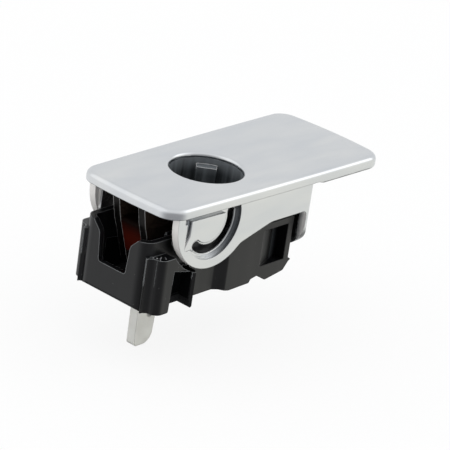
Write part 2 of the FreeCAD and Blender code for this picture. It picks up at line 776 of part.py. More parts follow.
def pawl_pin():
    """Steel pin across the housing: its head lies on the far wall and its tip in a blind hole."""
    y = NARROW_OUT
    rod = cross_rod(PAWL_PIN_SETBACK, -PAWL_PIN_DROP, PAWL_PIN_R, PIN_START, y)
    head = cross_rod(PAWL_PIN_SETBACK, -PAWL_PIN_DROP, 1.6 * PAWL_PIN_R, y, y + 0.8)
    return rod.fuse(head).removeSplitter()


def pawl():
    """Casting with a hub, an upper arm that ends in a round nose, and the hooked tongue."""
    x, z = PAWL_PIN_SETBACK, -PAWL_PIN_DROP
    half = PAWL_T / 2
    hub_half = PAWL_HUB_WIDTH / 2
    hub = cross_rod(x, z, PAWL_HUB_R, -hub_half, hub_half)
    nose = cross_rod(NOSE_SETBACK, -NOSE_DROP, NOSE_R, -hub_half, hub_half)
    pin = vec(x, 0, z)
    tip = vec(NOSE_SETBACK, 0, -NOSE_DROP)
    along = tip - pin
    along.normalize()
    across = vec(-along.z, 0, along.x)
    arm_points = [
        pin + across * (0.8 * PAWL_HUB_R),
        tip + across * (0.8 * NOSE_R),
        tip - across * (0.8 * NOSE_R),
        pin - across * (0.8 * PAWL_HUB_R),
    ]
    arm = side_prism([(p.x, p.z) for p in arm_points], -half, half)
    left = TONGUE_SETBACK
    neck = left + NECK_WIDTH
    right = left + TONGUE_WIDTH
    tongue = side_prism(
        [
            (x - 1.5, z + 1.0),
            (x - 3.0, z - 1.6, 1.0),
            (left + 3.4, z - 3.3, 2.0),
            (left, z - TONGUE_SHOULDER, 2.0),
            (left + 0.1, -TONGUE_DROP, 1.0),
            (right - 0.5, -TONGUE_DROP, 3.4),
            (right, -THROAT_FOOT_DROP, 0.7),
            (neck, -THROAT_FOOT_DROP, 0.9),
            (neck, -THROAT_TOP_DROP, 1.2),
            (neck + 0.6, z - 8.2, 1.5),
            (x - 0.6, z - 3.2, 1.0),
            (x + 1.0, z - 1.0),
        ],
        -half,
        half,
    )
    body = hub.fuse([nose, arm, tongue])
    bore = cross_rod(x, z, PAWL_PIN_R + PEG_CLEARANCE, -hub_half - 1, hub_half + 1)
    return body.cut(bore).removeSplitter()


def coil(x, z, mean_r, wire_r, y_start, start_degrees, turns):
    """Coil about an axis along Y, growing toward +Y, made of tilted ring arcs with a ball at each join.
    Degrees count from +X toward -Z."""
    count = math.ceil(2 * turns)
    rise = COIL_PITCH * wire_r * turns

    def point(share):
        angle = math.radians(start_degrees + 360 * turns * share)
        return vec(x + mean_r * math.cos(angle), y_start + rise * share, z - mean_r * math.sin(angle))

    pieces = []
    for i in range(count):
        arc = Part.Arc(point(i / count), point((i + 0.5) / count), point((i + 1) / count)).toShape()
        start = arc.FirstParameter
        profile = Part.Face(Part.Wire(Part.makeCircle(wire_r, point(i / count), arc.tangentAt(start))))
        sweep = math.degrees(arc.LastParameter - start)
        pieces.append(profile.revolve(arc.Curve.Center, arc.Curve.Axis, sweep))
        if i:
            pieces.append(Part.makeSphere(1.08 * wire_r, point(i / count)))
    return pieces[0].fuse(pieces[1:])


def wire_run(points, wire_r):
    """Straight wire runs through the points, with a slightly larger ball at the start and each bend."""
    runs = []
    for start, end in zip(points, points[1:]):
        run = end - start
        runs.append(Part.makeCylinder(wire_r, run.Length, start, run))
    bends = [Part.makeSphere(1.08 * wire_r, point) for point in points[:-1]]
    return runs[0].fuse(runs[1:] + bends)


def handle_spring_front():
    """Coil round the near inner boss; one leg lies under the plate and one on the ledge."""
    x, z, r = PIVOT_SETBACK, -PIVOT_DROP, HANDLE_COIL_R
    first = -NARROW_IN + WIRE_R + 0.1
    turns = 1.5
    last = first + COIL_PITCH * WIRE_R * turns
    body = coil(x, z, r, WIRE_R, first, 270, turns)
    upper = wire_run([vec(x, first, z + r), vec(x - HANDLE_LEG, first, z + r)], WIRE_R)
    lower = wire_run([vec(x, last, z - r), vec(x - HANDLE_LEG, last, z - r)], WIRE_R)
    return body.fuse([upper, lower])


def handle_spring_rear():
    return handle_spring_front().mirror(vec(0, 0, 0), vec(0, 1, 0))


def pawl_spring():
    """Coil round the pawl's pin; one leg stands on the floor and one hooks over the pawl's arm."""
    x, z, w = PAWL_PIN_SETBACK, -PAWL_PIN_DROP, PAWL_WIRE_R
    r = PAWL_PIN_R + w + COIL_GAP
    turns = 2.75
    first = -PAWL_HUB_WIDTH / 2 - w - 0.1 - COIL_PITCH * w * turns
    last = first + COIL_PITCH * w * turns
    body = coil(x, z, r, w, first, 180, turns)
    stand = wire_run([vec(x - r, first, z), vec(x - r, first, -FLOOR_DROP + w)], w)
    bend = x - PAWL_LEG
    hook = wire_run([vec(x, last, z - r), vec(bend, last, z - r), vec(bend, -0.4, z - r)], w)
    return body.fuse([stand, hook]).mirror(vec(0, 0, 0), vec(0, 1, 0))


def to_frame(shape):
    moved = shape.copy()
    moved.translate(vec(-LOCK_SETBACK, 0, 0))
    return moved


def main():
    os.makedirs("parts", exist_ok=True)
    shapes = {
        "handle": handle(),
        "lock_sleeve": lock_sleeve(),
        "push_block": push_block(),
        "housing": housing(),
        "pawl_pin": pawl_pin(),
        "pawl": pawl(),
        "pawl_spring": pawl_spring(),
        "handle_spring_front": handle_spring_front(),
        "handle_spring_rear": handle_spring_rear(),
    }
    for name, shape in shapes.items():
        placed = to_frame(shape)
        print(name, placed.isValid(), len(placed.Solids), round(placed.Volume, 1), placed.BoundBox)
        placed.exportStep("parts/" + name + ".step")


main()
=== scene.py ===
import bpy
import bmesh
import math
from mathutils import Matrix, Vector


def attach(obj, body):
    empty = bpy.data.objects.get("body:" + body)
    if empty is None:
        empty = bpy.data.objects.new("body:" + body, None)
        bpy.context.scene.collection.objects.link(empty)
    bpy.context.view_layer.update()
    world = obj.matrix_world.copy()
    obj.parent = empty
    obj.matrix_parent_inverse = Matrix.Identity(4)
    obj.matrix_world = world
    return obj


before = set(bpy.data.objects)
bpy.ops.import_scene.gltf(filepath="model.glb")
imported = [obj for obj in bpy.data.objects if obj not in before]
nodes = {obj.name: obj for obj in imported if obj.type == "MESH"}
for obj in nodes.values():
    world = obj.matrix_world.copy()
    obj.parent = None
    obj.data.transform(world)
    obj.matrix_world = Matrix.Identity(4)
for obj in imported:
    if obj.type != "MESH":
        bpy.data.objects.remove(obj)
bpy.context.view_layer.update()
scene = bpy.context.scene

# Handle: an ABS moulding plated with satin chrome, so a bright metal whose rounded edges catch the light. It
# has a fine grain, soft clouds and faint smears along the plate. Inside, the fork has thin, dull plating and
# is painted brown-black as shade, with pale painted highlights on its edges. Sizes are in millimetres, and
# the grain is drawn coarse enough to show.
MM = 0.001
X, Y, Z = 0, 1, 2


def linear(hex_colour):
    """sRGB hex colour as linear RGBA."""
    parts = [int(hex_colour[i:i + 2], 16) / 255 for i in (1, 3, 5)]
    return tuple(p / 12.92 if p <= 0.04045 else ((p + 0.055) / 1.055) ** 2.4 for p in parts) + (1.0,)


def node(tree, kind, inputs=None, **settings):
    """Adds one shader node; inputs maps a socket's name or index to a value or another node's socket."""
    made = tree.nodes.new(kind)
    for name, value in settings.items():
        setattr(made, name, value)
    for key, value in (inputs or {}).items():
        if isinstance(value, bpy.types.NodeSocket):
            tree.links.new(value, made.inputs[key])
        else:
            made.inputs[key].default_value = value
    return made


def new_material(name):
    """Empty node material and its tree."""
    material = bpy.data.materials.new(name)
    material.use_nodes = True
    material.node_tree.nodes.clear()
    return material, material.node_tree


def rising(tree, value, start, full, low=0.0, high=1.0):
    """Goes from low to high as a value goes from start to full."""
    return node(tree, "ShaderNodeMapRange", {0: value, 1: start, 2: full, 3: low, 4: high}).outputs[0]


def uneven(tree, size, low=0.0, high=1.0, detail=3.0, start=0.3, full=0.7):
    """Wanders between low and high in patches whose sizes along X, Y and Z are given."""
    place = node(tree, "ShaderNodeTexCoord").outputs["Object"]
    per_metre = [1.0 / (length * MM) for length in size]
    counted = node(tree, "ShaderNodeMapping", {"Vector": place, "Scale": per_metre}).outputs[0]
    cloud = node(tree, "ShaderNodeTexNoise", {"Vector": counted, "Scale": 1.0, "Detail": detail}).outputs[0]
    return rising(tree, cloud, start, full, low, high)


def skin(tree, size, detail):
    """Height of a fine skin, in grains of one size."""
    return uneven(tree, (size, size, size), detail=detail, start=0.0, full=1.0)


def where_all(tree, *shares):
    """Share of the places where all the given shares hold."""
    share = shares[0]
    for other in shares[1:]:
        share = node(tree, "ShaderNodeMath", {0: share, 1: other}, operation="MULTIPLY").outputs[0]
    return share


def within(tree, *limits):
    """Share of the places past every limit: an axis, and where the share starts and where it is full."""
    place = node(tree, "ShaderNodeSeparateXYZ", {0: node(tree, "ShaderNodeTexCoord").outputs["Object"]})
    return where_all(tree, *[rising(tree, place.outputs[axis], start * MM, full * MM)
                             for axis, start, full in limits])


def from_line(tree, centre):
    """Distance, in metres, from the line along Y through a point given by its x and z."""
    place = node(tree, "ShaderNodeTexCoord").outputs["Object"]
    flat = node(tree, "ShaderNodeVectorMath", {0: place, 1: (1.0, 0.0, 1.0)}, operation="MULTIPLY")
    line = (centre[0] * MM, 0.0, centre[1] * MM)
    return node(tree, "ShaderNodeVectorMath", {0: flat.outputs[0], 1: line}, operation="DISTANCE").outputs[1]


def edge_share(tree, radius, full, start):
    """Share that rises to 1 on edges, as the cosine between rounded and flat normal falls to full."""
    round_normal = node(tree, "ShaderNodeBevel", {"Radius": radius * MM}, samples=6).outputs[0]
    flat_normal = node(tree, "ShaderNodeNewGeometry").outputs["True Normal"]
    match = node(tree, "ShaderNodeVectorMath", {0: round_normal, 1: flat_normal}, operation="DOT_PRODUCT")
    return rising(tree, match.outputs["Value"], start, full)


def layered(tree, colour, *layers):
    """Colour under layers of others, each a share and a colour."""
    for share, over in layers:
        colour = node(tree, "ShaderNodeMix", {0: share, 6: colour, 7: over}, data_type="RGBA").outputs[2]
    return colour


def finish_surface(tree, colour, roughness, metallic, height, relief, edge_radius, extra=None):
    """Principled surface with a fine bump over rounded edges; gives its shader."""
    edges = node(tree, "ShaderNodeBevel", {"Radius": edge_radius * MM}, samples=6)
    bump = node(tree, "ShaderNodeBump", {"Strength": 1.0, "Distance": relief * MM, "Height": height,
                                         "Normal": edges.outputs[0]})
    inputs = {"Base Color": colour, "Roughness": roughness, "Metallic": metallic, "Normal": bump.outputs[0]}
    inputs.update(extra or {})
    surface = node(tree, "ShaderNodeBsdfPrincipled", inputs)
    node(tree, "ShaderNodeOutputMaterial", {"Surface": surface.outputs[0]})
    return surface.outputs[0]


def dress(name, material):
    """Gives a CAD node its finish."""
    for place in nodes[name].material_slots:
        place.material = material


PIVOT = (-12.0, -6.8)
LOBE_CENTRE = (-11.4, -4.6)
UNDER_PLATE = (Z, -2.6, -3.4)
FORK = (UNDER_PLATE, (X, -12.5, -14.0), (Y, -12.6, -11.8), (Y, 12.6, 11.8))
FORK_SIDES = (0.5, 0.9)
LOBE_FRONT = (UNDER_PLATE, (X, -17.0, -19.0))
LOBE_RIM_R = (11.0, 11.8)
NOT_OUTWARD = (0.5, 0.2)
CHEEK_INSIDE = (12.5, 12.9)
END_WALL = (UNDER_PLATE, (X, 22.4, 23.2))
END_WALL_CORNER = (12.6, 14.4)
HINGEWARD = (-0.2, -0.6)
RECESS_WALL = (UNDER_PLATE, (X, -13.0, -6.0), (Y, -15.1, -14.95), (Y, -13.2, -13.8))
RECESS_WALL_R = ((9.3, 9.42), (9.6, 9.52))
RECESS_SHADE_SHARE = 0.75
CHROME_CLOUD = (28.6, 28.6, 28.6)
CHROME_SMEAR = (25.0, 6.25, 6.25)
CHROME_GRAIN = 0.143
CHROME_ROUGHNESS = (0.20, 0.26)
CHROME_EDGE = (0.3, 0.8, 0.97)
FORK_DULLNESS = (0.2, 0.8)
RIM_HIGHLIGHT_DULLNESS = 0.9

satin_chrome, tree = new_material("satin_chrome")
place = node(tree, "ShaderNodeSeparateXYZ", {0: node(tree, "ShaderNodeTexCoord").outputs["Object"]})
facing = node(tree, "ShaderNodeSeparateXYZ", {0: node(tree, "ShaderNodeNewGeometry").outputs["True Normal"]})
across = node(tree, "ShaderNodeMath", {0: place.outputs[Y]}, operation="ABSOLUTE").outputs[0]
side = node(tree, "ShaderNodeMath", {0: place.outputs[Y]}, operation="SIGN").outputs[0]
edge = edge_share(tree, *CHROME_EDGE)

# The fork is painted brown-black as shade under the plate. Its sides are painted a lighter brown than its
# front edges, as painted light, and its edges are painted pale as highlight.
in_fork = within(tree, *FORK)
sideways = node(tree, "ShaderNodeMath", {0: facing.outputs[Y]}, operation="ABSOLUTE").outputs[0]
fork = layered(tree, linear("#22201f"), (rising(tree, sideways, *FORK_SIDES), linear("#64544a")),
               (edge, linear("#e4e4e4")))

# The arc recess's outer wall is painted dark as shade, and the lobes' rims and the end wall's corners are
# painted pale and less metallic, as painted highlight.
from_pivot = from_line(tree, PIVOT)
recess_shade = [rising(tree, from_pivot, start * MM, full * MM) for start, full in RECESS_WALL_R]
recess_shade = where_all(tree, *recess_shade, within(tree, *RECESS_WALL), RECESS_SHADE_SHARE)
outward = where_all(tree, side, facing.outputs[Y])
lobe_rim_highlight = where_all(tree, rising(tree, from_line(tree, LOBE_CENTRE), *[r * MM for r in LOBE_RIM_R]),
                     rising(tree, across, *[y * MM for y in CHEEK_INSIDE]),
                     rising(tree, outward, *NOT_OUTWARD), within(tree, *LOBE_FRONT))
wall_corner_highlight = where_all(tree, rising(tree, across, *[y * MM for y in END_WALL_CORNER]),
                        rising(tree, facing.outputs[X], *HINGEWARD), within(tree, *END_WALL))
rim_highlight = node(tree, "ShaderNodeMath", {0: lobe_rim_highlight, 1: wall_corner_highlight}, operation="MAXIMUM").outputs[0]

tone = layered(tree, linear("#d1d3d5"),
               (uneven(tree, CHROME_CLOUD, detail=2.0), linear("#d9dada")),
               (uneven(tree, CHROME_SMEAR, 0.0, 0.5, detail=2.0), linear("#c4c8ce")),
               (in_fork, fork), (recess_shade, linear("#3c4146")), (rim_highlight, linear("#e8e6e3")))
gloss = uneven(tree, CHROME_CLOUD, *CHROME_ROUGHNESS, detail=2.0)
# The fork's plating is dull, and duller on its edges, where the pale painted highlight shows.
dull_fork = where_all(tree, in_fork, rising(tree, edge, 0.0, 1.0, *FORK_DULLNESS))
# The painted highlights on the rims and corners are less metallic, so they show pale.
dull_rims = where_all(tree, rim_highlight, RIM_HIGHLIGHT_DULLNESS)
dull = node(tree, "ShaderNodeMath", {0: dull_fork, 1: dull_rims}, operation="MAXIMUM").outputs[0]
metal = node(tree, "ShaderNodeMath", {0: 1.0, 1: dull}, operation="SUBTRACT").outputs[0]
grain = skin(tree, CHROME_GRAIN, detail=1.0)
finish_surface(tree, tone, gloss, metal, grain, relief=0.0008, edge_radius=0.25)
dress("handle", satin_chrome)

# Lock sleeve: glossy black ABS, moulded upright and pressed into the handle. Its faint upright streaks are
# partly flow marks and partly painted reflection. It is painted paler near its mouth as reflection, and the
# crest of its key rib has painted highlights on its edges.
SLEEVE_STREAK = (1.43, 1.43, 35.7)
SLEEVE_GRAIN = 0.2
SLEEVE_ROUGHNESS = (0.1, 0.24)
SLEEVE_MOUTH = (Z, -5.0, -1.3)
MOUTH_REFLECTION_SHARE = 0.4
RIB_CREST = ((Z, -3.7, -3.2), (Z, -2.3, -2.6))
RIB_EDGE = (0.3, 0.85, 0.98)

black_gloss, tree = new_material("black_gloss")
# Painted highlight on the key rib's crest, and painted reflection near the mouth.
crest_highlight = where_all(tree, within(tree, *RIB_CREST), edge_share(tree, *RIB_EDGE))
mouth_reflection = where_all(tree, within(tree, SLEEVE_MOUTH), MOUTH_REFLECTION_SHARE)
tone = layered(tree, linear("#2c2f31"), (uneven(tree, SLEEVE_STREAK), linear("#5c6165")),
               (mouth_reflection, linear("#a9afb4")), (crest_highlight, linear("#ffffff")))
gloss = uneven(tree, SLEEVE_STREAK, *SLEEVE_ROUGHNESS)
finish_surface(tree, tone, gloss, 0.0, skin(tree, SLEEVE_GRAIN, detail=1.0), relief=0.001, edge_radius=0.2,
               extra={"IOR": 1.5})
dress("lock_sleeve", black_gloss)

# Push block: red-brown acetal, pegged into the handle's fork. Acetal is waxy, with a soft mottling and hardly
# any gloss, and its top lies in the dark under the plate.
BLOCK_MOTTLE = (3.33, 3.33, 3.33)
BLOCK_GRAIN = 0.25
BLOCK_ROUGHNESS = (0.7, 0.8)
BLOCK_SHADE = (Z, -14.5, -9.5)

red_acetal, tree = new_material("red_acetal")
tone = layered(tree, linear("#3c0c02"), (uneven(tree, BLOCK_MOTTLE), linear("#4a1004")),
               (within(tree, BLOCK_SHADE), linear("#0c0301")))
gloss = uneven(tree, BLOCK_MOTTLE, *BLOCK_ROUGHNESS)
finish_surface(tree, tone, gloss, 0.0, skin(tree, BLOCK_GRAIN, detail=2.0), relief=0.003, edge_radius=0.2,
               extra={"Specular IOR Level": 0.05})
dress("push_block", red_acetal)

# Housing: satin black plastic from a fine-grained mould, with soft clouds, upright flow marks, a few pale
# specks of dust and painted highlights on the rims round the U-slot. The mould's slides leave the loops'
# lower ends matt.
HOUSING_CLOUD = (7.14, 7.14, 7.14)
HOUSING_FLOW = (2.38, 2.38, 79.4)
HOUSING_GRAIN = 0.154
HOUSING_ROUGHNESS = (0.30, 0.44)
HOUSING_EDGE = (0.3, 0.8, 0.97)
DUST_PITCH, DUST_R, DUST_SHARE = 2.38, 0.04, 0.3
SLOT_RIMS = ((Z, -21.0, -20.4), (X, -12.0, -14.0))
SLOT_RIM_HIGHLIGHT_SHARE = 0.6
LOOP_FOOT = ((X, -14.9, -15.6), (X, -24.5, -23.7), (Z, -17.0, -18.0))

black_satin, tree = new_material("black_satin")
counted = node(tree, "ShaderNodeMapping", {"Vector": node(tree, "ShaderNodeTexCoord").outputs["Object"],
                                           "Scale": [1.0 / (DUST_PITCH * MM)] * 3}).outputs[0]
specks = node(tree, "ShaderNodeTexVoronoi", {"Vector": counted, "Scale": 1.0}).outputs["Distance"]
dust = node(tree, "ShaderNodeMath", {0: specks, 1: DUST_R}, operation="LESS_THAN").outputs[0]
dust = where_all(tree, dust, DUST_SHARE)
# Painted highlight: pale edges round the U-slot.
slot_rim_highlight = where_all(tree, edge_share(tree, *HOUSING_EDGE), within(tree, *SLOT_RIMS), SLOT_RIM_HIGHLIGHT_SHARE)
flow = uneven(tree, HOUSING_FLOW, 0.0, 0.8, detail=2.0, start=0.45, full=0.75)
tone = layered(tree, linear("#050608"), (uneven(tree, HOUSING_CLOUD), linear("#0b0c0e")),
               (flow, linear("#17181a")), (slot_rim_highlight, linear("#c8ccce")), (dust, linear("#9a9a98")))
gloss = uneven(tree, HOUSING_FLOW, *HOUSING_ROUGHNESS, detail=2.0)
matt = within(tree, *LOOP_FOOT)
gloss = node(tree, "ShaderNodeMath", {0: gloss, 1: matt}, operation="MAXIMUM").outputs[0]
grain = skin(tree, HOUSING_GRAIN, detail=2.0)
finish_surface(tree, tone, gloss, 0.0, grain, relief=0.002, edge_radius=0.4, extra={"IOR": 1.42})
dress("housing", black_satin)

# Pawl: a bare zinc die casting, pale grey and only half metallic to the eye, with the granular skin that the
# die gives it.
ZINC_CLOUD = (5.0, 5.0, 5.0)
ZINC_GRAIN = 0.385
ZINC_ROUGHNESS = (0.5, 0.62)
ZINC_METALLIC = 0.35

zinc_casting, tree = new_material("zinc_casting")
grain = skin(tree, ZINC_GRAIN, detail=4.0)
tone = layered(tree, linear("#dcdcd6"), (uneven(tree, ZINC_CLOUD), linear("#e8e8e3")))
gloss = rising(tree, grain, 0.3, 0.7, *ZINC_ROUGHNESS)
finish_surface(tree, tone, gloss, ZINC_METALLIC, grain, relief=0.012, edge_radius=0.3)
dress("pawl", zinc_casting)

# Pawl pin: a drawn steel rod with a head at the rear, pushed across the housing. It is a bright metal with
# fine draw marks along its length, which is Y.
PIN_DRAW = (0.4, 4.0, 0.4)
PIN_ROUGHNESS = (0.22, 0.36)

steel, tree = new_material("steel")
drawn = uneven(tree, PIN_DRAW, start=0.0, full=1.0)
tone = layered(tree, linear("#a8a9ab"), (uneven(tree, PIN_DRAW), linear("#c0c1c3")))
gloss = uneven(tree, PIN_DRAW, *PIN_ROUGHNESS)
finish_surface(tree, tone, gloss, 1.0, drawn, relief=0.002, edge_radius=0.1)
dress("pawl_pin", steel)

# Springs: coiled spring wire, a little darker than the pin. The two on the hinge line bring the handle back,
# and the one on the pin pushes the pawl out.
WIRE_GRAIN = 0.333
WIRE_PATCH = (WIRE_GRAIN, WIRE_GRAIN, WIRE_GRAIN)
WIRE_ROUGHNESS = (0.25, 0.4)

spring_steel, tree = new_material("spring_steel")
tone = layered(tree, linear("#8c8e92"), (uneven(tree, WIRE_PATCH), linear("#a9abae")))
gloss = uneven(tree, WIRE_PATCH, *WIRE_ROUGHNESS)
finish_surface(tree, tone, gloss, 1.0, skin(tree, WIRE_GRAIN, detail=3.0), relief=0.002, edge_radius=0.1)
for name in ("pawl_spring", "handle_spring_front", "handle_spring_rear"):
    dress(name, spring_steel)

# Loop walls: thin near-black walls behind the housing's side loops, with hardly any gloss: a dark sheet put
# there as painted shade. Each closes its loop's window from inside, so that no light comes through it.
SIDES = (("front", -1), ("rear", 1))
WINDOW_START, WINDOW_END = -23.6, -14.2
WINDOW_LOW, WINDOW_HIGH, WINDOW_SLANT = -26.4, -17.4, 1.6
WINDOW_WALL_IN, WINDOW_WALL_OUT = 9.35, 9.85
MATT_GRAIN = 2.5
MATT_CLOUD = (MATT_GRAIN, MATT_GRAIN, MATT_GRAIN)
MATT_ROUGHNESS = 0.9

# Near-black with hardly any gloss: painted shade on the loop walls and leg cores, and the gate mark's own
# colour.
matt_black_and_shade, tree = new_material("matt_black_and_shade")
tone = layered(tree, linear("#030405"), (uneven(tree, MATT_CLOUD), linear("#07090a")))
grain = skin(tree, MATT_GRAIN, detail=3.0)
finish_surface(tree, tone, MATT_ROUGHNESS, 0.0, grain, relief=0.004, edge_radius=0.2,
               extra={"Specular IOR Level": 0.05})


def add_piece(name, shape, material, body="housing"):
    """Turns a bmesh in millimetres into a piece that rides on a body."""
    bmesh.ops.scale(shape, vec=(MM, MM, MM), verts=shape.verts)
    bmesh.ops.recalc_face_normals(shape, faces=shape.faces)
    mesh = bpy.data.meshes.new(name)
    shape.to_mesh(mesh)
    shape.free()
    mesh.materials.append(material)
    piece = bpy.data.objects.new(name, mesh)
    scene.collection.objects.link(piece)
    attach(piece, body)


def side_place(x, z, y):
    """Point of an outline drawn on the side view."""
    return Vector((x, y, z))


def pushed_outline(points, start, end, soft, place=side_place):
    """Solid over an outline, pushed from start to end along the third axis, with softened edges."""
    shape = bmesh.new()
    corners = [shape.verts.new(place(u, w, start)) for u, w in points]
    pushed = bmesh.ops.extrude_face_region(shape, geom=[shape.faces.new(corners)])
    moved = [v for v in pushed["geom"] if isinstance(v, bmesh.types.BMVert)]
    bmesh.ops.translate(shape, vec=place(0, 0, end) - place(0, 0, start), verts=moved)
    bmesh.ops.bevel(shape, geom=shape.edges[:], offset=soft, segments=2, profile=0.5, affect="EDGES",
                    material=-1)
    return shape


for name, side in SIDES:
    outline = [(WINDOW_START, WINDOW_LOW), (WINDOW_END, WINDOW_LOW), (WINDOW_END, WINDOW_HIGH - WINDOW_SLANT),
               (WINDOW_START, WINDOW_HIGH)]
    shape = pushed_outline(outline, side * WINDOW_WALL_IN, side * WINDOW_WALL_OUT, soft=0.1)
    add_piece("loop_shade_wall_" + name, shape, matt_black_and_shade)

# Leg cores: near-black fillers at the roots of the loops' thin legs, painted shade like the walls behind
# them.
# Each fills the slanted relief at the back of its leg.
LEG_START, LEG_END = -16.96, -15.5
LEG_LOW, LEG_HIGH = -26.3, -18.9
LEG_IN, LEG_OUT = 10.8, 13.95

for name, side in SIDES:
    outline = [(LEG_START, LEG_LOW), (LEG_END, LEG_LOW), (LEG_END, LEG_HIGH), (LEG_START, LEG_HIGH)]
    shape = pushed_outline(outline, side * LEG_IN, side * LEG_OUT, soft=0.05)
    add_piece("loop_leg_shade_" + name, shape, matt_black_and_shade)

# Gate mark: the small round scar that the moulding gate leaves on the housing's end face, a shallow disc with
# a raised ring.
GATE_PLACE = (-30.76, 6.73, -22.71)
GATE_R, GATE_RING, GATE_DEPTH, GATE_T = 0.42, 0.14, 0.08, 0.12

shape = bmesh.new()
bmesh.ops.create_circle(shape, cap_ends=True, segments=20, radius=GATE_R)
bmesh.ops.inset_region(shape, faces=shape.faces[:], thickness=GATE_RING, depth=0.0)
middle = [face for face in shape.faces if len(face.verts) > 4]
bmesh.ops.translate(shape, vec=(0, 0, -GATE_DEPTH), verts=middle[0].verts)
bmesh.ops.solidify(shape, geom=shape.faces[:], thickness=GATE_T)
bmesh.ops.rotate(shape, matrix=Matrix.Rotation(-math.pi / 2, 3, "Y"), verts=shape.verts)
bmesh.ops.translate(shape, vec=GATE_PLACE, verts=shape.verts)
add_piece("gate_mark", shape, matt_black_and_shade)

# Ledge crumbs: small pale flecks on the ledge beside the near post, which catch the light. Each is given by
# its x, y and size.
CRUMBS = [(-28.6, -11.2, 0.16), (-28.1, -12.0, 0.22), (-27.6, -12.6, 0.14), (-26.9, -12.2, 0.18),
          (-26.4, -13.4, 0.13), (-28.3, -13.3, 0.12), (-25.9, -12.7, 0.11)]
CRUMB_LEVEL = -13.55
CRUMB_SHAPE = (1.5, 0.8, 0.7)
CRUMB_TURN = 1.3
CRUMB_GRAIN = 0.333
CRUMB_ROUGHNESS = 0.4

pale_crumb, tree = new_material("pale_crumb")
crumb_mottle = uneven(tree, (CRUMB_GRAIN, CRUMB_GRAIN, CRUMB_GRAIN))
tone = layered(tree, linear("#8a8c8e"), (crumb_mottle, linear("#e4e6e8")))
grain = skin(tree, CRUMB_GRAIN, detail=3.0)
finish_surface(tree, tone, CRUMB_ROUGHNESS, 0.0, grain, relief=0.01, edge_radius=0.05)

shape = bmesh.new()
for i, (x, y, size) in enumerate(CRUMBS):
    made = bmesh.ops.create_icosphere(shape, subdivisions=1, radius=size)
    bmesh.ops.scale(shape, vec=CRUMB_SHAPE, verts=made["verts"])
    bmesh.ops.rotate(shape, matrix=Matrix.Rotation(CRUMB_TURN * i, 3, "Z"), verts=made["verts"])
    bmesh.ops.translate(shape, vec=(x, y, CRUMB_LEVEL), verts=made["verts"])
add_piece("ledge_crumbs", shape, pale_crumb)

# Corner fillets: three-cornered strips of the housing's own plastic, moulded with it. Each fills the nook
# between the end face's rounded corner and the side loop.
CORNER_LOW, CORNER_HIGH = -28.1, -13.7
CORNER_OUTLINE = [(-28.85, 10.7), (-29.8, 9.85), (-30.5, 10.7)]


def plan_place(x, y, z):
    """Point of an outline drawn on the plan."""
    return Vector((x, y, z))


for name, side in SIDES:
    outline = [(x, side * y) for x, y in CORNER_OUTLINE]
    shape = pushed_outline(outline, CORNER_LOW, CORNER_HIGH, soft=0.03, place=plan_place)
    add_piece("corner_fillet_" + name, shape, black_satin)

# Recess liners: near-black sheets in the wedge recesses' deep ends, painted shade with hardly any gloss.
# Each starts flush with the ramp in the ramp's own tone and darkens toward the corner.
LINER_LOW, LINER_HIGH = -24.95, -15.05
LINER_OUTLINE = [(16.6, 10.75), (20.28, 9.45), (20.28, 12.7), (20.1, 12.7), (20.1, 9.75), (16.6, 10.85)]
LINER_SHADE_FADE = (X, 19.6, 16.8)

# Painted shade: near-black, paler where it meets the ramp.
recess_shade_black, tree = new_material("recess_shade_black")
tone = layered(tree, linear("#030405"), (uneven(tree, MATT_CLOUD), linear("#07090a")),
               (within(tree, LINER_SHADE_FADE), linear("#2a2c2e")))
grain = skin(tree, MATT_GRAIN, detail=3.0)
finish_surface(tree, tone, MATT_ROUGHNESS, 0.0, grain, relief=0.004, edge_radius=0.2,
               extra={"Specular IOR Level": 0.05})

for name, side in SIDES:
    outline = [(x, side * y) for x, y in LINER_OUTLINE]
    shape = pushed_outline(outline, LINER_LOW, LINER_HIGH, soft=0.03, place=plan_place)
    add_piece("recess_shade_liner_" + name, shape, recess_shade_black)

# Cheek pads: the D-shaped faces inside the handle's arc slots, moulded with the cheeks and plated with
# them. Each has a notch on its left, a groove under the plate and an edge that follows the slot.
PAD_FOOT, PAD_FACE, PAD_SOFT = 13.6, 15.1, 0.22
PAD_NOTCH = [(-20.6, -4.35), (-20.7, -8.2), (-22.25, -11.2), (-22.25, -12.15), (-19.9, -12.15)]
PAD_RING_R, PAD_RING_FROM, PAD_RING_TO = 9.5, -146.0, -140.0
SLOT_END_CENTRE, SLOT_END_R = (-18.36, -11.19), 1.15
SLOT_END_FROM, SLOT_END_TO = 230.0, 90.0
SLOT_CENTRE, SLOT_EDGE_R = (-13.7, -5.83), 5.66
SLOT_EDGE_END, SLOT_FROM = -133.0, 12.0


def arc_points(centre, radius, start, end, steps):
    """Points (x, z) on an arc about a centre, in degrees from +X toward +Z."""
    angles = [math.radians(start + (end - start) * i / steps) for i in range(steps + 1)]
    return [(centre[0] + radius * math.cos(a), centre[1] + radius * math.sin(a)) for a in angles]


for name, side in SIDES:
    outline = PAD_NOTCH + arc_points(PIVOT, PAD_RING_R, PAD_RING_FROM, PAD_RING_TO, steps=3)
    outline += arc_points(SLOT_END_CENTRE, SLOT_END_R, SLOT_END_FROM, SLOT_END_TO, steps=6)
    outline += arc_points(SLOT_CENTRE, SLOT_EDGE_R, SLOT_EDGE_END, SLOT_FROM, steps=28)
    shape = pushed_outline(outline, side * PAD_FOOT, side * PAD_FACE, PAD_SOFT)
    add_piece("cheek_pad_" + name, shape, satin_chrome, "handle")

# Slot beads: fine round beads moulded into the handle's cheeks along the arc slots' outer edges, plated with
# them. Each is a small circle spun about the hinge line.
SLOT_OUTER_R, BEAD_R, BEAD_PLACE = 8.26, 0.22, 13.75
SLOT_TO = -131.0

